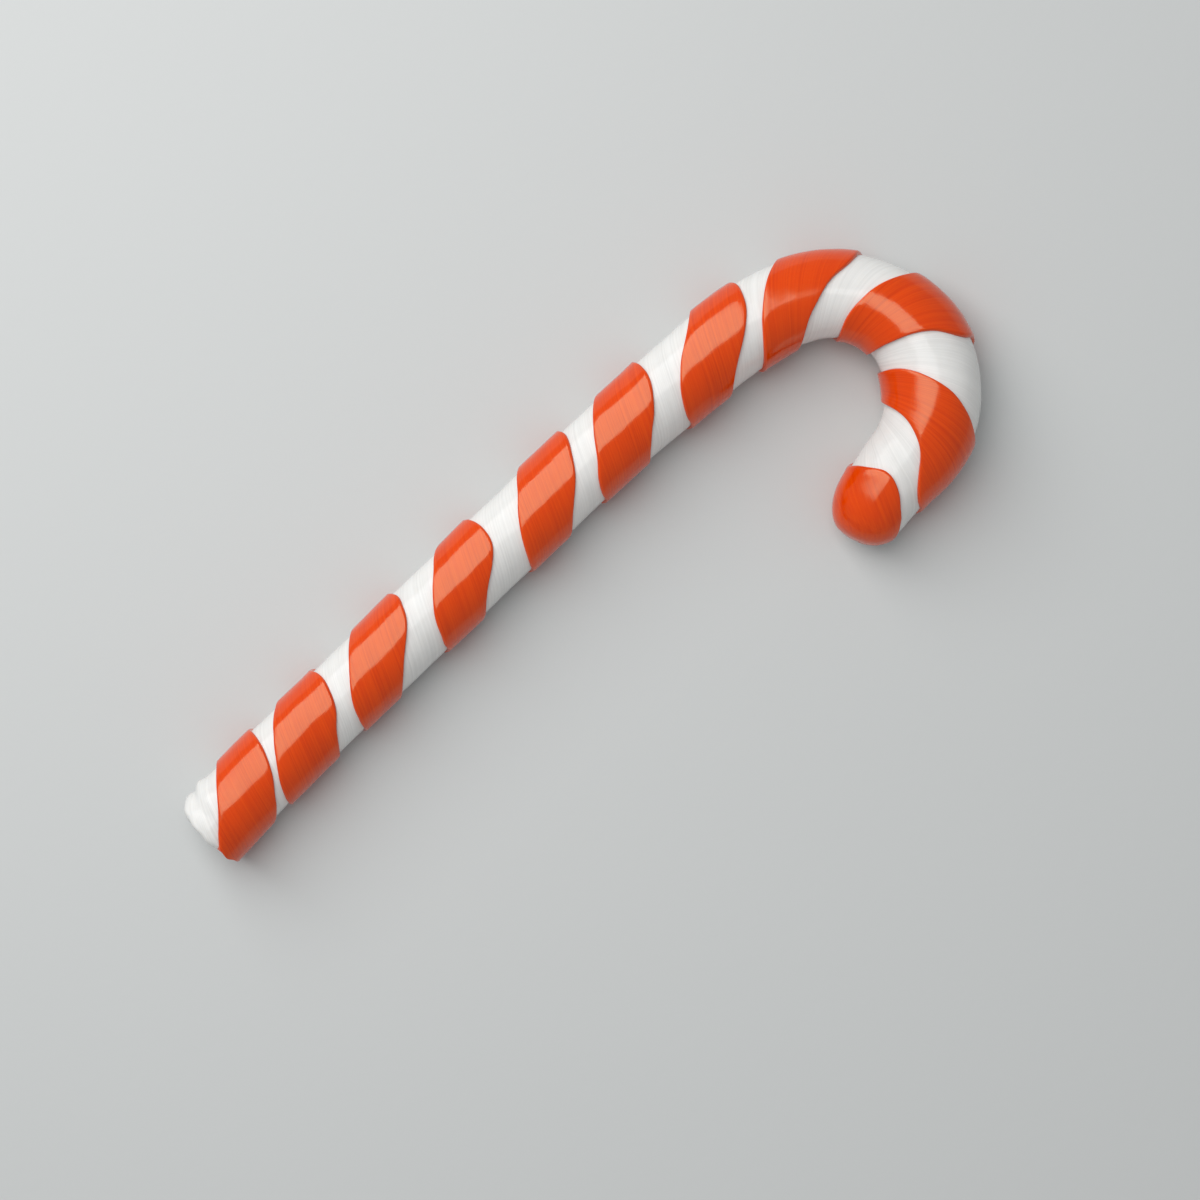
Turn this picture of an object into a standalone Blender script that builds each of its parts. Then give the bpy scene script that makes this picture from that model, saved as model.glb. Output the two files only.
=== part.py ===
"""A candy cane lying on its side: a hooked stick of hard pulled sugar with a red stripe wound round it.

It is shaped in the order in which a confectioner shapes one. The stripe, which stands a little proud of
the white sugar, is wound round a straight log. The log gets a cut foot and a rounded tip, and is bent along
a line of arcs that ends in the crook. The warm sugar sinks on the table while it sets, which presses the
underside flat.

Metres, +Z up. X runs along the stick towards the crook, and the crook turns towards -Y. The origin is the
middle of the cane's box, on the table.
"""

import math

import bmesh
import bpy
import numpy as np

MM = 0.001

# The centreline is a chain of arcs: the length of each, and how far it turns left, in degrees
FIRST_HEADING_DEG = 3.0
ARCS_MM_DEG = ((25, -2.6), (57, -0.7), (36, -3.5), (12, -9.5), (10, -21.5), (41, -140.5), (16.2, 17))
CANE_LENGTH = sum(length for length, _ in ARCS_MM_DEG) * MM

# Half the thickness of the white sugar, at distances from the foot. The crook is the thickest part
LOG_RADIUS = 7.0 * MM
RADIUS_PLACES_MM = (0.0, 30.0, 60.0, 100.0, 125.0, 145.0, 167.0, 178.0, 188.0, 197.2)
RADII_MM = (6.7, 6.5, 6.65, 6.8, 7.4, 7.1, 8.35, 7.85, 6.7, 5.95)

# How far from the foot the red stripe's two edges pass, turn by turn. Each turn is read at five places, an
# eighth of a turn apart: on the cane's right side, halfway up, on its top, halfway down and on its left side.
# The first and last turns lie past the cane's ends
STRIPE_STARTS_MM = (
    (-28, -25, -22, -20, -19), (-16, -13.5, -11, -8, -7), (-5, -1.5, 4.5, 9, 10.5),
    (13.5, 14.5, 18, 22.5, 25), (32, 32.5, 35.5, 40, 42.5), (51.5, 52, 55, 60, 63),
    (71.5, 72, 75, 79.5, 82), (88.5, 89, 93, 97, 99.5), (108.5, 108.5, 111, 118.5, 121),
    (124.5, 126, 129, 133, 135.5), (143.5, 144, 147.5, 151.5, 153.5), (162, 163, 167.5, 172.5, 175.5),
    (188.5, 186.5, 184, 190.5, 194.5), (215, 216.5, 218, 220, 222), (235, 236.5, 238, 240, 242),
)
STRIPE_ENDS_MM = (
    (-25, -22.5, -20, -17, -16), (-13, -10.5, -8, -6, -5), (9.5, 13, 17, 18.5, 17.5),
    (25.5, 27.5, 32.5, 33.5, 32), (40, 42.5, 49.5, 52.5, 50.5), (59.5, 62, 70, 70.5, 68.5),
    (79.5, 82.5, 88.5, 91.5, 90.5), (98.5, 100.5, 106.5, 109, 107.5), (116.5, 119, 126.5, 129, 127.5),
    (132.5, 135, 140, 145, 145.5), (154.5, 156.5, 159, 162.5, 162.5), (172.5, 173.5, 178.5, 186, 187),
    (202, 204, 206, 208, 209), (224, 226, 228, 230, 231), (244, 246, 248, 250, 251),
)
TURNS = len(STRIPE_STARTS_MM) - 1
READINGS_A_TURN = 8
READING_TURNS = [turn + side / READINGS_A_TURN for turn in range(TURNS + 1) for side in range(-2, 3)]
STRIPE_HEIGHT = 0.65 * MM
STRIPE_STEP_WIDTH = 0.6 * MM
# The thickness and the stripe change smoothly: a reading is averaged over this reach, in mm or in turns
RADIUS_EASING_MM = 6.0
STRIPE_EASING_TURNS = 0.06

# The foot is a nearly flat cut with a rounded rim, chipped on the side away from the crook. The tip is a dome
FOOT_DEPTH = 1.6 * MM
FOOT_SQUARENESS = 5.0
CHIP_DEPTH = 1.4 * MM
CHIP_FROM = 2.0 * MM
CHIP_REACH = 10.0 * MM
TIP_DEPTH = 6.8 * MM
TIP_SQUARENESS = 2.4

# The underside is pressed flat this deep into the white sugar
PRESSED_DEPTH = 0.15 * MM

# The mesh: rows of points that follow the stripe, and columns of them along the log
RED_ROWS = 6
WHITE_ROWS = 4
ROWS = RED_ROWS + WHITE_ROWS
ROW_SPACING = 2 * MM
COLUMNS = 32
CAP_RINGS = 6
GUIDE_STEP = 0.5 * MM
MERGE = 0.00001

SUGAR_COLOUR = (0.85, 0.85, 0.83, 1.0)
SUGAR_ROUGHNESS = 0.22


def eased(at, places, values, reach):
    """The value at a place, read between the given places and averaged over the reach on either side."""
    nearby = at + np.linspace(-reach, reach, 13)
    return float(np.interp(nearby, places, values).mean())


def radius_at(place):
    """Half the thickness of the white sugar at this distance from the foot."""
    return eased(place / MM, RADIUS_PLACES_MM, RADII_MM, RADIUS_EASING_MM) * MM


def edge_place(edge_mm, turns):
    """How far from the foot an edge of the stripe is after this many turns round the log."""
    return eased(turns, READING_TURNS, np.ravel(edge_mm), STRIPE_EASING_TURNS) * MM


def row_place_and_height(row, turns):
    """Where a row of points is along the log after this many turns, and how far it stands proud of it."""
    start, end = edge_place(STRIPE_STARTS_MM, turns), edge_place(STRIPE_ENDS_MM, turns)
    if row < RED_ROWS:
        first, last, share, height = start, end, row / (RED_ROWS - 1), STRIPE_HEIGHT
    else:
        first, last = end, edge_place(STRIPE_STARTS_MM, turns + 1)
        share, height = (row - RED_ROWS) / (WHITE_ROWS - 1), 0.0
    half_step = STRIPE_STEP_WIDTH / 2
    return first + half_step + (last - first - STRIPE_STEP_WIDTH) * share, height


def link(name, data, collection):
    obj = bpy.data.objects.new(name, data)
    collection.objects.link(obj)
    return obj


def shaped(obj):
    """A mesh of the object with its modifiers worked in."""
    graph = bpy.context.evaluated_depsgraph_get()
    return bpy.data.meshes.new_from_object(obj.evaluated_get(graph))


def even_winding(collection):
    """One turn's rows of points, wound up Z by a left-handed screw. Each turn starts where the last ends."""
    mesh = bpy.data.meshes.new("one_turn")
    points = [(0, LOG_RADIUS, row * ROW_SPACING) for row in range(ROWS + 1)]
    mesh.from_pydata(points, [(row, row + 1) for row in range(ROWS)], [])
    obj = link("candy_cane", mesh, collection)
    winding = obj.modifiers.new("Winding", "SCREW")
    winding.axis = "Z"
    winding.angle = -2 * math.pi
    winding.screw_offset = ROWS * ROW_SPACING
    winding.iterations = TURNS - 1
    winding.steps = winding.render_steps = COLUMNS
    obj.data = shaped(obj)
    obj.modifiers.clear()
    return obj


def place_stripe(bm):
    """Moves each row of points to the place and the height that the stripe has there.

    A column's angle is counted from the log's +Y side, the bent cane's top, towards its +X side, the left.
    """
    for vertex in bm.verts:
        angle = math.atan2(vertex.co.x, vertex.co.y) % (2 * math.pi)
        column = round(angle / (2 * math.pi) * COLUMNS) % COLUMNS
        rows_up = round(vertex.co.z / ROW_SPACING - column / COLUMNS * ROWS)
        turn, row = divmod(rows_up, ROWS)
        angle = 2 * math.pi * column / COLUMNS
        place, height = row_place_and_height(row, turn + column / COLUMNS)
        radius = LOG_RADIUS + height
        vertex.co = (radius * math.sin(angle), radius * math.cos(angle), place)


def cap_profile(squareness):
    """(height, radius) of each ring of a cap on a superellipse, as shares of its depth and of its radius."""
    power = 2 / squareness
    turns = [math.pi / 2 * ring / CAP_RINGS for ring in range(1, CAP_RINGS + 1)]
    return [(math.sin(turn) ** power, max(math.cos(turn), 0) ** power) for turn in turns]


def cut_and_round(bm, cut_height, depth, squareness):
    """Cuts the log off at a height and closes it with a cap, whose depth is below 0 where it points down."""
    up = math.copysign(1, depth)
    everything = bm.verts[:] + bm.edges[:] + bm.faces[:]
    cut = bmesh.ops.bisect_plane(
        bm, geom=everything, dist=MERGE, plane_co=(0, 0, cut_height), plane_no=(0, 0, up), clear_outer=True
    )
    rim = [item for item in cut["geom_cut"] if isinstance(item, bmesh.types.BMEdge)]
    full = 1.0
    for height_share, radius_share in cap_profile(squareness):
        grown = bmesh.ops.extrude_edge_only(bm, edges=rim)["geom"]
        rim = [item for item in grown if isinstance(item, bmesh.types.BMEdge) and item.is_boundary]
        for vertex in {vertex for edge in rim for vertex in edge.verts}:
            vertex.co.xy *= radius_share / full
            vertex.co.z = cut_height + depth * height_share
        full = radius_share


def chip_foot(bm):
    """The cut has broken away on the log's +X side, where the foot's points move up the log."""
    for vertex in bm.verts:
        share = min(max((vertex.co.x - CHIP_FROM) / (LOG_RADIUS - CHIP_FROM), 0.0), 1.0)
        fade = max(1 - vertex.co.z / CHIP_REACH, 0.0)
        vertex.co.z += CHIP_DEPTH * share**2 * fade


def centreline():
    """Points along the cane's middle, a step apart: (x, y, z, radius as a share of the log's)."""
    lengths, turns = zip(*ARCS_MM_DEG)
    knots = np.cumsum((0, *lengths)) * MM
    headings = np.radians(FIRST_HEADING_DEG + np.cumsum((0, *turns)))
    steps = round(CANE_LENGTH / GUIDE_STEP)
    step = CANE_LENGTH / steps
    x = y = 0.0
    points = []
    for i in range(steps + 1):
        radius = radius_at(i * step)
        points.append((x, y, radius - PRESSED_DEPTH, radius / LOG_RADIUS))
        heading = np.interp((i + 0.5) * step, knots, headings)
        x += step * math.cos(heading)
        y += step * math.sin(heading)
    return points


def guide(collection):
    """The line that the log is bent along, thickened and thinned by its points' radius."""
    points = centreline()
    data = bpy.data.curves.new("centreline", "CURVE")
    data.dimensions = "3D"
    data.twist_mode = "Z_UP"
    data.use_radius = True
    spline = data.splines.new("POLY")
    spline.points.add(len(points) - 1)
    for point, (x, y, z, radius) in zip(spline.points, points):
        point.co = (x, y, z, 1)
        point.radius = radius
    obj = link("centreline", data, collection)
    obj.hide_render = True
    obj.display_type = "WIRE"
    return obj


def bend(obj, along):
    """Bends the standing log along the guide, which turns its +Y side up and its +X side to the left."""
    modifier = obj.modifiers.new("Bend", "CURVE")
    modifier.object = along
    modifier.deform_axis = "POS_Z"
    obj.data = shaped(obj)
    obj.modifiers.clear()


def lay_down(obj):
    """Presses what would sink below the table flat, and moves the middle of the cane's box to the origin."""
    places = np.array([vertex.co for vertex in obj.data.vertices])
    middle = (places.min(axis=0) + places.max(axis=0)) / 2
    for vertex in obj.data.vertices:
        vertex.co = (vertex.co.x - middle[0], vertex.co.y - middle[1], max(vertex.co.z, 0.0))


def sugar_material():
    material = bpy.data.materials.new("pulled_sugar")
    material.use_nodes = True
    shader = material.node_tree.nodes["Principled BSDF"]
    shader.inputs["Base Color"].default_value = SUGAR_COLOUR
    shader.inputs["Roughness"].default_value = SUGAR_ROUGHNESS
    shader.inputs["Metallic"].default_value = 0.0
    return material


def new_collection(name):
    collection = bpy.data.collections.new(name)
    bpy.context.scene.collection.children.link(collection)
    return collection


def main():
    for obj in list(bpy.data.objects):
        bpy.data.objects.remove(obj)
    cane = even_winding(new_collection("candy_cane"))
    bm = bmesh.new()
    bm.from_mesh(cane.data)
    bmesh.ops.remove_doubles(bm, verts=bm.verts, dist=MERGE)
    place_stripe(bm)
    cut_and_round(bm, FOOT_DEPTH, -FOOT_DEPTH, FOOT_SQUARENESS)
    cut_and_round(bm, CANE_LENGTH - TIP_DEPTH, TIP_DEPTH, TIP_SQUARENESS)
    bmesh.ops.remove_doubles(bm, verts=bm.verts, dist=MERGE)
    chip_foot(bm)
    bmesh.ops.recalc_face_normals(bm, faces=bm.faces)
    bm.to_mesh(cane.data)
    bm.free()
    bend(cane, guide(new_collection("guides")))
    lay_down(cane)
    cane.data.name = "candy_cane"
    cane.data.materials.append(sugar_material())
    cane.data.shade_smooth()


main()
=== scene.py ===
# %% [markdown]
# # A candy cane of pulled sugar
#
# The real thing is one stick of boiled sugar. The white part is pulled until it is full of fine air
# threads, and a red strip is laid on it. The warm stick is rolled, which winds the strip round it, and
# then bent over at one end. It is fused into one solid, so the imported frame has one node. Here that
# node is replaced by two pieces that sit in each other as the two sugars do: the white log, and the red
# stripe round it.
#
# Everything is in metres. The cane lies on the table: X runs along the stick, the crook turns towards
# -Y, and the shown side is up.

# %% Load the frame
import math

import bmesh
import bpy
import numpy as np
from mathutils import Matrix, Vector, noise


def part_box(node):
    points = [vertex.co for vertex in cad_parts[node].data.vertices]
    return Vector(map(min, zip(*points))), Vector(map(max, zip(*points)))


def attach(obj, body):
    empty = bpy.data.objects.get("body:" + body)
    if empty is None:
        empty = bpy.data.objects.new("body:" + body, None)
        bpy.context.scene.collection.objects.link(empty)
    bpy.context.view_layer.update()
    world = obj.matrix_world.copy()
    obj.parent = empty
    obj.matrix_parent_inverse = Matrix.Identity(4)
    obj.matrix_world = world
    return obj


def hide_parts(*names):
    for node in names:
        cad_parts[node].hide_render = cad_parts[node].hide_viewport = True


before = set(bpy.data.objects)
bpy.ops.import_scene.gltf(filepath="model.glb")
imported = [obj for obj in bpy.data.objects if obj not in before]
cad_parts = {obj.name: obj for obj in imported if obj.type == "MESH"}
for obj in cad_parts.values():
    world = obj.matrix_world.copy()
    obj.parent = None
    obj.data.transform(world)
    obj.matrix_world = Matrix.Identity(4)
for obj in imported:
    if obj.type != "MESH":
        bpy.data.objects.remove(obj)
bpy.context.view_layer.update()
MM = 0.001
low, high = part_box("candy_cane")
box_mm = [round((far - near) / MM, 1) for near, far in zip(low, high)]
print("the frame holds", sorted(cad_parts), "in a box of", box_mm, "mm")

# %% [markdown]
# ## Selecting
#
# An operator acts on all that is selected, and the frame arrives selected. So each step starts with
# nothing selected, picks one object, and in edit mode picks its faces and edges by where they are.


# %% Helpers for selecting
def use(obj):
    """Selects this object alone, and makes it the active one."""
    if bpy.context.mode != "OBJECT":
        bpy.ops.object.mode_set(mode="OBJECT")
    bpy.ops.object.select_all(action="DESELECT")
    bpy.context.view_layer.objects.active = obj
    obj.select_set(True)


def apply_modifier(obj, kind, name, **settings):
    """Adds a modifier with these settings and applies it."""
    use(obj)
    modifier = obj.modifiers.new(name, kind)
    for key, value in settings.items():
        setattr(modifier, key, value)
    bpy.ops.object.modifier_apply(modifier=modifier.name)


def move_points(obj, new_place):
    """Moves every point of a mesh to new_place(point)."""
    for vertex in obj.data.vertices:
        vertex.co = new_place(vertex.co)


def report(obj):
    """Prints a piece's size and faces, and counts the edges that don't join exactly two faces."""
    bm = bmesh.new()
    bm.from_mesh(obj.data)
    loose = sum(len(edge.link_faces) != 2 for edge in bm.edges)
    bm.free()
    size = [round(side / MM, 1) for side in obj.dimensions]
    print(obj.name, "measures", size, "mm,", len(obj.data.polygons), "faces,", loose, "open edges")


# %% [markdown]
# ## The cane's own measures
#
# The frame was built from these sizes, and the fine pieces are built from the same ones, so that they
# lie in its box. The middle line is a chain of arcs. The thickness is read between a few places along
# it. A hand-rolled stripe is uneven, so the distance from the foot at which its two edges pass is given
# turn by turn. Each turn is read at five places, an eighth of a turn apart: on the cane's right side,
# halfway up, on its top, halfway down and on its left side. The first and last turns lie past the
# cane's ends.

# %% Sizes
FOOT_START = Vector((-77.21, 18.37, 0)) * MM
FIRST_HEADING_DEG = 3.0
ARCS_MM_DEG = ((25, -2.6), (57, -0.7), (36, -3.5), (12, -9.5), (10, -21.5), (41, -140.5), (16.2, 17))
CANE_LENGTH = sum(length for length, _ in ARCS_MM_DEG) * MM
LOG_RADIUS = 7.0 * MM
RADIUS_PLACES_MM = (0.0, 30.0, 60.0, 100.0, 125.0, 145.0, 167.0, 178.0, 188.0, 197.2)
RADII_MM = (6.7, 6.5, 6.65, 6.8, 7.4, 7.1, 8.35, 7.85, 6.7, 5.95)
STRIPE_STARTS_MM = (
    (-28, -25, -22, -20, -19), (-16, -13.5, -11, -8, -7), (-5, -1.5, 4.5, 9, 10.5),
    (13.5, 14.5, 18, 22.5, 25), (32, 32.5, 35.5, 40, 42.5), (51.5, 52, 55, 60, 63),
    (71.5, 72, 75, 79.5, 82), (88.5, 89, 93, 97, 99.5), (108.5, 108.5, 111, 118.5, 121),
    (124.5, 126, 129, 133, 135.5), (143.5, 144, 147.5, 151.5, 153.5), (162, 163, 167.5, 172.5, 175.5),
    (188.5, 186.5, 184, 190.5, 194.5), (215, 216.5, 218, 220, 222), (235, 236.5, 238, 240, 242),
)
STRIPE_ENDS_MM = (
    (-25, -22.5, -20, -17, -16), (-13, -10.5, -8, -6, -5), (9.5, 13, 17, 18.5, 17.5),
    (25.5, 27.5, 32.5, 33.5, 32), (40, 42.5, 49.5, 52.5, 50.5), (59.5, 62, 70, 70.5, 68.5),
    (79.5, 82.5, 88.5, 91.5, 90.5), (98.5, 100.5, 106.5, 109, 107.5), (116.5, 119, 126.5, 129, 127.5),
    (132.5, 135, 140, 145, 145.5), (154.5, 156.5, 159, 162.5, 162.5), (172.5, 173.5, 178.5, 186, 187),
    (202, 204, 206, 208, 209), (224, 226, 228, 230, 231), (244, 246, 248, 250, 251),
)
TURNS = len(STRIPE_STARTS_MM) - 1
READINGS_A_TURN = 8
SIDES = range(-2, 3)  # eighths of a turn from the top, from the cane's right side to its left
READING_TURNS = [turn + side / READINGS_A_TURN for turn in range(TURNS + 1) for side in SIDES]
STRIPE_HEIGHT = 0.65 * MM
RADIUS_EASING_MM = 6.0
STRIPE_EASING_TURNS = 0.06
EASING_SAMPLES = 13
FOOT_DEPTH, FOOT_SQUARENESS = 1.6 * MM, 5.0
TIP_DEPTH, TIP_SQUARENESS = 6.8 * MM, 2.4
PRESSED_DEPTH = 0.15 * MM


def eased(at, places, values, reach):
    """The value at a place, read between the given places and averaged over the reach on either side."""
    nearby = at + np.linspace(-reach, reach, EASING_SAMPLES)
    return float(np.interp(nearby, places, values).mean())


def edge_place(edge_mm, turns):
    """How far from the foot an edge of the stripe is after this many turns round the cane."""
    return eased(turns, READING_TURNS, np.ravel(edge_mm), STRIPE_EASING_TURNS) * MM


print("the cane is", round(CANE_LENGTH / MM, 1), "mm long along its middle")

# %% [markdown]
# ## The white log
#
# A confectioner rolls the pulled sugar into a round log and cuts it with shears, so its foot is a
# nearly flat face with a rounded rim, and its other end is rolled to a dome. It could be a cylinder
# with bevelled ends, but here a circle is extruded and scaled ring by ring, which gives the two ends
# their different curves.

# %% Extrude the log from a circle
LOG_COLUMNS = 96
RING_STEP = 0.6 * MM
CAP_RINGS = 14
POLE_SHARE = 0.002
MERGE = 0.002 * MM
ON_CUT = MERGE / 10


def cap_shares(squareness):
    """(height, radius) of a cap's rings, as shares of its depth and of the log's radius, from rim to pole."""
    turns = [math.pi / 2 * ring / CAP_RINGS for ring in range(CAP_RINGS + 1)]
    power = 2 / squareness
    return [(math.sin(turn) ** power, max(math.cos(turn), POLE_SHARE) ** power) for turn in turns]


def log_rings():
    """(height, radius) of every ring from the foot to the tip."""
    foot_shares = reversed(cap_shares(FOOT_SQUARENESS))
    foot = [(FOOT_DEPTH * (1 - rise), LOG_RADIUS * share) for rise, share in foot_shares]
    shoulder = CANE_LENGTH - TIP_DEPTH
    tip = [(shoulder + TIP_DEPTH * rise, LOG_RADIUS * share) for rise, share in cap_shares(TIP_SQUARENESS)]
    count = round((shoulder - FOOT_DEPTH) / RING_STEP)
    between = np.linspace(FOOT_DEPTH, shoulder, count + 1)[1:-1]
    return foot + [(float(height), LOG_RADIUS) for height in between] + tip


rings = log_rings()
bpy.ops.object.select_all(action="DESELECT")
bpy.ops.mesh.primitive_circle_add(
    vertices=LOG_COLUMNS, radius=rings[0][1], fill_type="NGON", location=(0, 0, 0),
)
white_log = bpy.context.object
white_log.name = white_log.data.name = "white_sugar_log"
bpy.ops.object.mode_set(mode="EDIT")
for (last_height, last_radius), (height, radius) in zip(rings, rings[1:]):
    bpy.ops.mesh.extrude_region_move(TRANSFORM_OT_translate={"value": (0, 0, height - last_height)})
    growth = radius / last_radius
    bpy.ops.transform.resize(value=(growth, growth, 1), center_override=(0, 0, height))
bpy.ops.object.mode_set(mode="OBJECT")
report(white_log)

# %% [markdown]
# ## The red stripe
#
# The red sugar is laid on as a flat strip, so the piece starts as the strip's cross-section: a thin
# rectangle on the top of the log, reaching a little into the white, with its two outer corners rounded
# over. A Screw modifier winds that outline up the log. It turns the left-handed way, as on this cane.

# %% Draw the strip's outline and wind it
SUNK = 0.4 * MM
SHOULDER, SHOULDER_SEGMENTS = 0.42 * MM, 5
STRIP_WIDTH = 12 * MM
PITCH = 18 * MM
STRIP_COLUMNS = 96
STRIP_ROWS = 14
SUNK_ROWS = 3

outer, inner = LOG_RADIUS + STRIPE_HEIGHT, LOG_RADIUS - SUNK
bpy.ops.object.select_all(action="DESELECT")
bpy.ops.mesh.primitive_plane_add(
    size=1, location=(0, (outer + inner) / 2, STRIP_WIDTH / 2), rotation=(0, math.pi / 2, 0),
)
red_stripe = bpy.context.object
red_stripe.name = red_stripe.data.name = "red_sugar_stripe"
red_stripe.scale = (STRIP_WIDTH, outer - inner, 1)
bpy.ops.object.transform_apply(location=True, rotation=True, scale=True)


def select_where(obj, keep_edge):
    """In edit mode, selects the edges for which keep_edge(middle) is true, and nothing else."""
    bm = bmesh.from_edit_mesh(obj.data)
    bpy.ops.mesh.select_mode(type="EDGE")
    bpy.ops.mesh.select_all(action="DESELECT")
    for edge in bm.edges:
        middle = (edge.verts[0].co + edge.verts[1].co) / 2
        if keep_edge(middle):
            edge.select_set(True)
    bmesh.update_edit_mesh(obj.data)


bpy.ops.object.mode_set(mode="EDIT")
select_where(red_stripe, lambda middle: middle.y > outer - MERGE)
bpy.ops.mesh.bevel(offset=SHOULDER, segments=SHOULDER_SEGMENTS, affect="VERTICES")
select_where(red_stripe, lambda middle: middle.y > outer - MERGE and abs(middle.z - STRIP_WIDTH / 2) < MERGE)
bpy.ops.mesh.subdivide(number_cuts=STRIP_ROWS - 1)
select_where(red_stripe, lambda middle: middle.y < inner + MERGE)
bpy.ops.mesh.subdivide(number_cuts=SUNK_ROWS - 1)
bpy.ops.mesh.select_all(action="SELECT")
bpy.ops.mesh.delete(type="ONLY_FACE")
bpy.ops.object.mode_set(mode="OBJECT")
outline_points = len(red_stripe.data.vertices)
apply_modifier(
    red_stripe, "SCREW", "Winding", axis="Z", angle=-math.tau, screw_offset=PITCH, iterations=TURNS - 1,
    steps=STRIP_COLUMNS, render_steps=STRIP_COLUMNS, use_merge_vertices=False,
)
print("an outline of", outline_points, "points, wound", TURNS - 1, "times")
report(red_stripe)

# %% [markdown]
# ## Hand-rolled turns
#
# The modifier winds evenly, and a hand doesn't. So each point of the strip moves along the log to where
# its turn really lies. Its angle is counted from the top of the cane towards the left, as on the frame.
# The edges also get a small wave, because the strip is pulled by hand. Near the tip the strip follows
# the dome down to its pole, along an arc that is taken as 1.45 times the dome's depth.

# %% Move the turns to their places
EDGE_WAVE = 0.28 * MM
EDGE_WAVE_LENGTH = 5 * MM
START_SEED, END_SEED = 1, 7
DOME_ARC_SHARE = 1.45
TIP_ARC = DOME_ARC_SHARE * TIP_DEPTH


def wave(point, length, seed):
    """A smooth random value from -1 to 1 that changes over this length."""
    return noise.noise(point / length + Vector((seed, 0, 0)))


def over_tip(radius, place):
    """Lays what runs past the tip's shoulder over its dome: (radius, height) on the log."""
    shoulder = CANE_LENGTH - TIP_DEPTH
    if place <= shoulder:
        return radius, place
    turn = min((place - shoulder) / TIP_ARC, 1) * math.pi / 2
    height = shoulder + (TIP_DEPTH + radius - LOG_RADIUS) * math.sin(turn) ** (2 / TIP_SQUARENESS)
    return radius * max(math.cos(turn), 0) ** (2 / TIP_SQUARENESS), height


def hand_rolled(point):
    """Where a point of the evenly wound strip lies on the hand-rolled one."""
    radius = math.hypot(point.x, point.y)
    angle = math.atan2(point.x, point.y) % math.tau
    climbed = point.z - angle / math.tau * PITCH
    turn = math.floor((climbed + STRIP_WIDTH / 4) / PITCH)  # the margin keeps rounding from losing a turn
    across = (climbed - turn * PITCH) / STRIP_WIDTH
    turns = turn + angle / math.tau
    start, end = edge_place(STRIPE_STARTS_MM, turns), edge_place(STRIPE_ENDS_MM, turns)
    along = Vector((math.sin(angle) * LOG_RADIUS, math.cos(angle) * LOG_RADIUS, start))
    start += EDGE_WAVE * wave(along, EDGE_WAVE_LENGTH, START_SEED)
    end += EDGE_WAVE * wave(along, EDGE_WAVE_LENGTH, END_SEED)
    radius, height = over_tip(radius, start + (end - start) * across)
    return radius * math.sin(angle), radius * math.cos(angle), height


move_points(red_stripe, hand_rolled)
report(red_stripe)

# %% [markdown]
# ## Cutting the stripe at the foot
#
# The shears cut red and white at one stroke, so the stripe ends flush with the foot. A bisect with fill
# does the same. Its points past the tip have all fallen together on the pole, where merging them closes
# the piece.

# %% Cut and close the stripe
FOOT_CUT = 0.25 * MM
use(red_stripe)
bpy.ops.object.mode_set(mode="EDIT")
bpy.ops.mesh.select_all(action="SELECT")
bpy.ops.mesh.remove_doubles(threshold=MERGE)
bpy.ops.mesh.select_all(action="SELECT")
bpy.ops.mesh.dissolve_degenerate(threshold=MERGE)
bpy.ops.mesh.select_all(action="SELECT")
bpy.ops.mesh.bisect(
    plane_co=(0, 0, FOOT_CUT), plane_no=(0, 0, 1), use_fill=True, clear_inner=True, threshold=ON_CUT,
)
bpy.ops.mesh.select_all(action="SELECT")
bpy.ops.mesh.normals_make_consistent(inside=False)
bpy.ops.object.mode_set(mode="OBJECT")
report(red_stripe)

# %% [markdown]
# ## What the twist does to the sugar's threads
#
# Pulled sugar is full of air threads that run along the rope, and rolling winds them with the stripe.
# The patterns of both materials must wind in the same way and then bend with the cane. So each point
# keeps, as an attribute, where it would lie on the log before it was rolled. A pattern that is
# stretched along that log's Z then follows the twist and the crook by itself, with no seam.

# %% Keep each point's place on the unrolled log
START_TOPS_MM = [reading_mm[SIDES.index(0)] for reading_mm in STRIPE_STARTS_MM]


def unrolled(point):
    """Where this point of the straight, rolled log was before the rolling."""
    radius = math.hypot(point.x, point.y)
    angle = math.atan2(point.x, point.y)
    rolled_back = np.interp(point.z / MM, START_TOPS_MM, range(TURNS + 1)) * math.tau - angle
    return radius * math.sin(rolled_back), radius * math.cos(rolled_back), point.z


for piece in (white_log, red_stripe):
    kept = piece.data.attributes.new("unrolled", "FLOAT_VECTOR", "POINT")
    for vertex, value in zip(piece.data.vertices, kept.data):
        value.vector = unrolled(vertex.co)

# %% [markdown]
# ## Lumps and chips
#
# Hand work shows. The log is a little uneven all along, which a Displace modifier with soft clouds
# gives to both pieces alike, because both read the clouds at the same places. The shears also leave the
# foot chipped on the side away from the crook, with a low bead that they squeezed up behind a groove,
# and lumpy on its face. There the points are pushed by a rule that fades up the stick.

# %% Make the log uneven
LUMP_LENGTH = 9 * MM
LUMP_DEPTH = 0.35 * MM
CHIP_DEPTH = 1.4 * MM
CHIP_FROM = 2.0 * MM
CHIP_REACH = 10.0 * MM
FACE_LUMP_LENGTH = 3.2 * MM
FACE_LUMP_DEPTH = 0.7 * MM
FACE_LUMP_SEED = 3
FACE_REACH = 5.0 * MM
BEAD_HEIGHT, BEAD_PLACE, BEAD_WIDTH = 0.5 * MM, 5.0 * MM, 1.2 * MM
GROOVE_DEPTH, GROOVE_PLACE, GROOVE_WIDTH = 0.35 * MM, 3.1 * MM, 0.7 * MM


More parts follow.
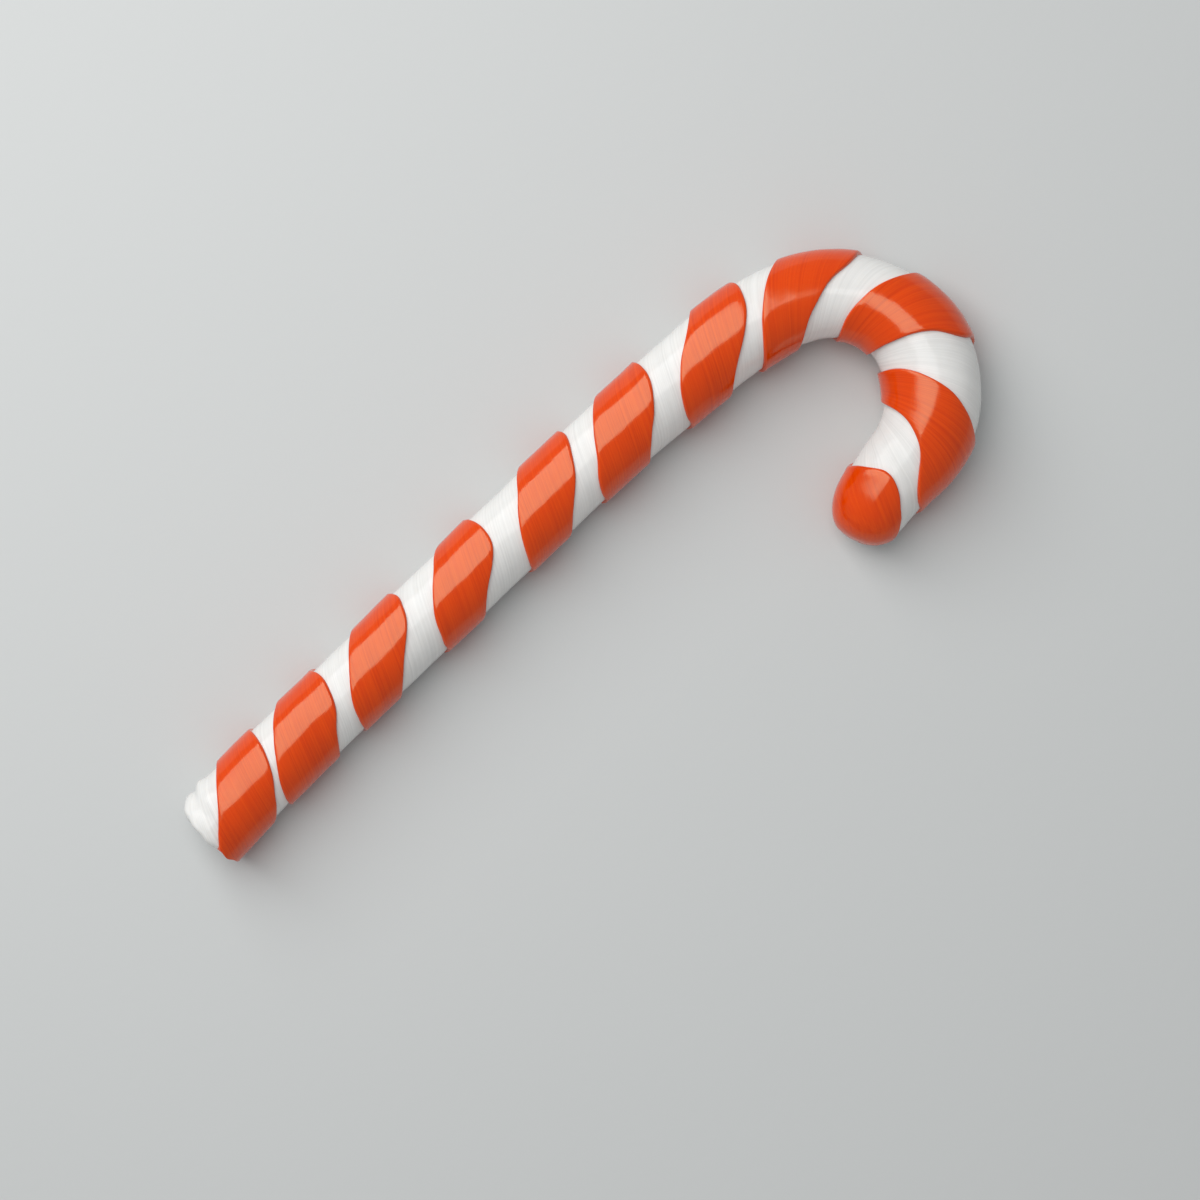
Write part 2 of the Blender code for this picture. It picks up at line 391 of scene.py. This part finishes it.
def sheared(point):
    """Where the shears leave a point near the foot."""
    share = min(max((point.x - CHIP_FROM) / (LOG_RADIUS - CHIP_FROM), 0.0), 1.0)
    chip = CHIP_DEPTH * share**2 * max(1 - point.z / CHIP_REACH, 0.0)
    fade = max(1 - point.z / FACE_REACH, 0.0) ** 2
    lump = FACE_LUMP_DEPTH * fade * wave(point, FACE_LUMP_LENGTH, FACE_LUMP_SEED)
    bead = BEAD_HEIGHT * math.exp(-((point.z - BEAD_PLACE) / BEAD_WIDTH) ** 2)
    groove = GROOVE_DEPTH * math.exp(-((point.z - GROOVE_PLACE) / GROOVE_WIDTH) ** 2)
    swell = 1 + (bead - groove) / LOG_RADIUS * min(max(point.x / LOG_RADIUS, 0.0), 1.0)
    return point.x * swell, point.y * swell, point.z + chip + lump


clouds = bpy.data.textures.new("hand_rolled_lumps", "CLOUDS")
clouds.noise_scale = LUMP_LENGTH
for piece in (white_log, red_stripe):
    apply_modifier(piece, "DISPLACE", "Lumps", texture=clouds, texture_coords="LOCAL", strength=LUMP_DEPTH)
    move_points(piece, sheared)

# %% [markdown]
# ## Bending the crook
#
# The warm stick is bent by hand round nothing but the fingers, so the crook is no true circle. The
# middle line is drawn as a curve, and a Curve modifier lays the log along it. Each of its points also
# has a radius, which thins the stick and swells the crook, as the frame has them.

# %% Lay the log along its middle line
GUIDE_STEP = 0.5 * MM


def radius_at(place):
    """Half the thickness of the white sugar at this distance from the foot."""
    return eased(place / MM, RADIUS_PLACES_MM, RADII_MM, RADIUS_EASING_MM) * MM


def middle_line():
    """Points along the cane's middle, a step apart: (x, y, z, radius as a share of the log's)."""
    lengths, turns = zip(*ARCS_MM_DEG)
    knots = np.cumsum((0, *lengths)) * MM
    headings = np.radians(FIRST_HEADING_DEG + np.cumsum((0, *turns)))
    steps = round(CANE_LENGTH / GUIDE_STEP)
    step = CANE_LENGTH / steps
    x, y = FOOT_START.x, FOOT_START.y
    points = []
    for i in range(steps + 1):
        radius = radius_at(i * step)
        points.append((x, y, radius - PRESSED_DEPTH, radius / LOG_RADIUS))
        heading = np.interp((i + 0.5) * step, knots, headings)
        x += step * math.cos(heading)
        y += step * math.sin(heading)
    return points


line_points = middle_line()
line_data = bpy.data.curves.new("middle_line", "CURVE")
line_data.dimensions = "3D"
line_data.twist_mode = "Z_UP"
spline = line_data.splines.new("POLY")
spline.points.add(len(line_points) - 1)
for knot, (x, y, z, radius) in zip(spline.points, line_points):
    knot.co = (x, y, z, 1)
    knot.radius = radius
line_object = bpy.data.objects.new("middle_line", line_data)
bpy.context.scene.collection.objects.link(line_object)
for piece in (white_log, red_stripe):
    apply_modifier(piece, "CURVE", "Crook", object=line_object, deform_axis="POS_Z")
bpy.data.objects.remove(line_object)

# %% [markdown]
# ## Set flat on the table
#
# Hot sugar sinks a little while it sets, so the underside is pressed flat. The white lies a hair higher
# than the red, because the stripe stands proud there too. A bisect at the table's height cuts each
# piece flat and fills it.

# %% Press the underside flat
WHITE_CLEARANCE = 0.04 * MM
SMOOTH_BELOW_DEG = 40

for piece, height in ((white_log, WHITE_CLEARANCE), (red_stripe, 0.0)):
    use(piece)
    bpy.ops.object.mode_set(mode="EDIT")
    bpy.ops.mesh.select_all(action="SELECT")
    bpy.ops.mesh.bisect(
        plane_co=(0, 0, height), plane_no=(0, 0, 1), use_fill=True, clear_inner=True, threshold=ON_CUT,
    )
    bpy.ops.mesh.select_all(action="SELECT")
    bpy.ops.mesh.quads_convert_to_tris(quad_method="BEAUTY", ngon_method="BEAUTY")
    bpy.ops.mesh.normals_make_consistent(inside=False)
    bpy.ops.object.mode_set(mode="OBJECT")
    bpy.ops.object.shade_smooth_by_angle(angle=math.radians(SMOOTH_BELOW_DEG))
    report(piece)

# %% [markdown]
# ## Materials
#
# One function turns an sRGB hex colour to the linear numbers that Blender works in, and the others add
# nodes with their settings and links. Both sugars share the same threads, which are wound by the
# attribute from above.


# %% Colour and node helpers
def linear(hex_colour):
    """An sRGB hex colour as linear RGBA."""
    channels = [int(hex_colour[i:i + 2], 16) / 255 for i in (1, 3, 5)]
    return (*[c / 12.92 if c <= 0.04045 else ((c + 0.055) / 1.055) ** 2.4 for c in channels], 1.0)


def set_inputs(node, inputs):
    """Gives each named input of a node its value, or a link from the socket given."""
    for key, value in inputs.items():
        if isinstance(value, bpy.types.NodeSocket):
            node.id_data.links.new(value, node.inputs[key])
        else:
            node.inputs[key].default_value = value


def add(tree, kind, inputs=None, **settings):
    """Adds a node of this kind, with its settings and its inputs."""
    new = tree.nodes.new("ShaderNode" + kind)
    for key, value in settings.items():
        setattr(new, key, value)
    set_inputs(new, inputs or {})
    return new


def blank_material(name):
    """A new material, its node tree and its shader."""
    material = bpy.data.materials.new(name)
    material.use_nodes = True
    return material, material.node_tree, material.node_tree.nodes["Principled BSDF"]


# %% [markdown]
# ## Pulled sugar, glazed by its own heat
#
# Boiled sugar is a glass with an IOR of about 1.5. Pulling fills it with air threads, which make it
# white and let a little light through, and the heat that keeps it soft melts its skin to a clear gloss.
# So the shader is a smooth base with some subsurface light, under a thin coat for the melted skin. The
# airy white sugar has a duller skin, so its gloss is grey. The red one's gloss is tinted away from red:
# with the red below it that gives the light orange highlights of this cane, where a plain white gloss
# would look pink.
#
# Threads 0.7 mm apart vary the colour, the roughness and the relief, because airy sugar is paler and
# duller than dense sugar. The real threads are finer, and are drawn this coarse so that they show. Soft
# patches of 7 mm are where the sugar was pulled less, and a fine bloom of damp, 0.15 mm, breaks the
# gloss so that it doesn't look like enamel.

# %% Make the two sugar materials
THREAD = 0.7 * MM
THREAD_STRETCH = 0.05
THREAD_HEIGHT = 0.014 * MM
BLOOM = 0.15 * MM
BLOOM_HEIGHT = 0.004 * MM
CLOUD = 7 * MM
NOISE_LOW, NOISE_HIGH = 0.35, 0.65
SUGAR_IOR = 1.5
DENSE_ROUGHNESS, AIRY_ROUGHNESS = 0.1, 0.18
SKIN, SKIN_ROUGHNESS = 0.15, 0.05
GLOW_DEPTH = 1 * MM
MIX_SHARE, MIX_FROM, MIX_TO, MIXED = 0, 6, 7, 2  # the sockets of a Mix node when it mixes colours


def sugar(name, light, base, dark, gloss, subsurface, radius):
    """Pulled and rolled sugar: light threads over a base with dark patches, under a clear gloss."""
    material, tree, shader = blank_material(name)
    place = add(tree, "Attribute", attribute_name="unrolled").outputs["Vector"]
    stretched = add(tree, "Mapping", {"Vector": place, "Scale": (1, 1, THREAD_STRETCH)}).outputs["Vector"]
    threads = add(tree, "TexNoise", {"Vector": stretched, "Scale": 1 / THREAD, "Detail": 3, "Roughness": 0.6})
    patches = add(tree, "TexNoise", {"Vector": place, "Scale": 1 / CLOUD, "Detail": 2})
    bloom = add(tree, "TexNoise", {"Vector": place, "Scale": 1 / BLOOM, "Detail": 2})
    spread = {"From Min": NOISE_LOW, "From Max": NOISE_HIGH}
    thread_share = add(tree, "MapRange", {"Value": threads.outputs["Fac"], **spread}).outputs["Result"]
    patch_share = add(tree, "MapRange", {"Value": patches.outputs["Fac"], **spread}).outputs["Result"]
    toning = {MIX_SHARE: patch_share, MIX_FROM: linear(base), MIX_TO: linear(dark)}
    tone = add(tree, "Mix", toning, data_type="RGBA").outputs[MIXED]
    threading = {MIX_SHARE: thread_share, MIX_FROM: tone, MIX_TO: linear(light)}
    colour = add(tree, "Mix", threading, data_type="RGBA").outputs[MIXED]
    rough = {"Value": thread_share, "To Min": DENSE_ROUGHNESS, "To Max": AIRY_ROUGHNESS}
    roughness = add(tree, "MapRange", rough).outputs["Result"]
    ridges = add(tree, "Bump", {"Height": threads.outputs["Fac"], "Distance": THREAD_HEIGHT, "Strength": 1.0})
    damp = {"Height": bloom.outputs["Fac"], "Distance": BLOOM_HEIGHT, "Normal": ridges.outputs["Normal"]}
    damped = add(tree, "Bump", damp).outputs["Normal"]
    set_inputs(shader, {
        "Base Color": colour, "Roughness": roughness, "IOR": SUGAR_IOR, "Normal": damped,
        "Subsurface Weight": subsurface, "Subsurface Radius": radius, "Subsurface Scale": GLOW_DEPTH,
        "Specular IOR Level": 0.5, "Specular Tint": linear(gloss),
        "Coat Weight": SKIN, "Coat Roughness": SKIN_ROUGHNESS, "Coat IOR": SUGAR_IOR,
    })
    return material


white_sugar = sugar(
    "pulled_white_sugar", light="#E9E8E5", base="#E3E2DF", dark="#DBDAD7", gloss="#A8A8A8",
    subsurface=0.25, radius=(1.2, 1.1, 1.0),
)
red_sugar = sugar(
    "pulled_red_sugar", light="#E24600", base="#DD3E00", dark="#D23700", gloss="#E2FFCC",
    subsurface=0.1, radius=(0.8, 0.3, 0.1),
)
white_log.data.materials.append(white_sugar)
red_stripe.data.materials.append(red_sugar)
print("materials:", white_sugar.name, "and", red_sugar.name)

# %% [markdown]
# ## Joining the frame
#
# Both pieces ride on the frame's one body and stand for its node.

# %% Hand the pieces to the frame
for piece in (white_log, red_stripe):
    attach(piece, "root")
    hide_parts("candy_cane")

# %% [markdown]
# ## The studio
#
# The cane lies on a plain pale floor under a camera that looks straight down, turned so that the stick
# rises to the right at the drawing's angle. A large soft box leans over the stick from its far side,
# and its reflection is the broad light band that runs along the red. The room's pale light fills the
# shade.

# %% Floor, camera and lights
CAMERA_TURN_DEG = -43.83
CAMERA_HEIGHT = 490 * MM
CAMERA_OVER = Vector((-1.10, 0.59, 0)) * MM
LENS_MM = 85
FLOOR_SIDE = 3
FLOOR_COLOUR, FLOOR_ROUGHNESS = "#C9CBCA", 0.7
FLOOR_GRAIN, FLOOR_GRAIN_HEIGHT = 2.5 * MM, 0.02 * MM
BOX_PLACE = Vector((0.0, 0.34, 0.49))
BOX_WIDTH, BOX_HEIGHT, BOX_WATTS = 0.42, 0.80, 3.7
ROOM_COLOUR, ROOM_STRENGTH = "#F4F6F8", 0.38

bpy.ops.object.select_all(action="DESELECT")
bpy.ops.mesh.primitive_plane_add(size=FLOOR_SIDE, location=(0, 0, 0))
floor = bpy.context.object
floor.name = "floor"
floor_material, floor_tree, floor_shader = blank_material("matt_studio_floor")
floor_place = add(floor_tree, "TexCoord").outputs["Object"]
floor_grain = add(floor_tree, "TexNoise", {"Vector": floor_place, "Scale": 1 / FLOOR_GRAIN, "Detail": 2})
floor_bump = add(floor_tree, "Bump", {"Height": floor_grain.outputs["Fac"], "Distance": FLOOR_GRAIN_HEIGHT})
set_inputs(floor_shader, {
    "Base Color": linear(FLOOR_COLOUR), "Roughness": FLOOR_ROUGHNESS, "Normal": floor_bump.outputs["Normal"],
})
floor.data.materials.append(floor_material)

camera_data = bpy.data.cameras.new("camera")
camera_data.lens = LENS_MM
camera = bpy.data.objects.new("camera", camera_data)
camera.location = CAMERA_OVER + Vector((0, 0, CAMERA_HEIGHT))
camera.rotation_euler = (0, 0, math.radians(CAMERA_TURN_DEG))
bpy.context.scene.collection.objects.link(camera)
bpy.context.scene.camera = camera

box_data = bpy.data.lights.new("long_soft_box", "AREA")
box_data.shape = "RECTANGLE"
box_data.size, box_data.size_y = BOX_WIDTH, BOX_HEIGHT
box_data.energy = BOX_WATTS
soft_box = bpy.data.objects.new("long_soft_box", box_data)
soft_box.location = BOX_PLACE
soft_box.rotation_euler = BOX_PLACE.to_track_quat("Z", "Y").to_euler()
bpy.context.scene.collection.objects.link(soft_box)

world = bpy.data.worlds.new("studio")
world.use_nodes = True
set_inputs(world.node_tree.nodes["Background"], {"Color": linear(ROOM_COLOUR), "Strength": ROOM_STRENGTH})
bpy.context.scene.world = world
bpy.context.scene.view_settings.view_transform = "Standard"
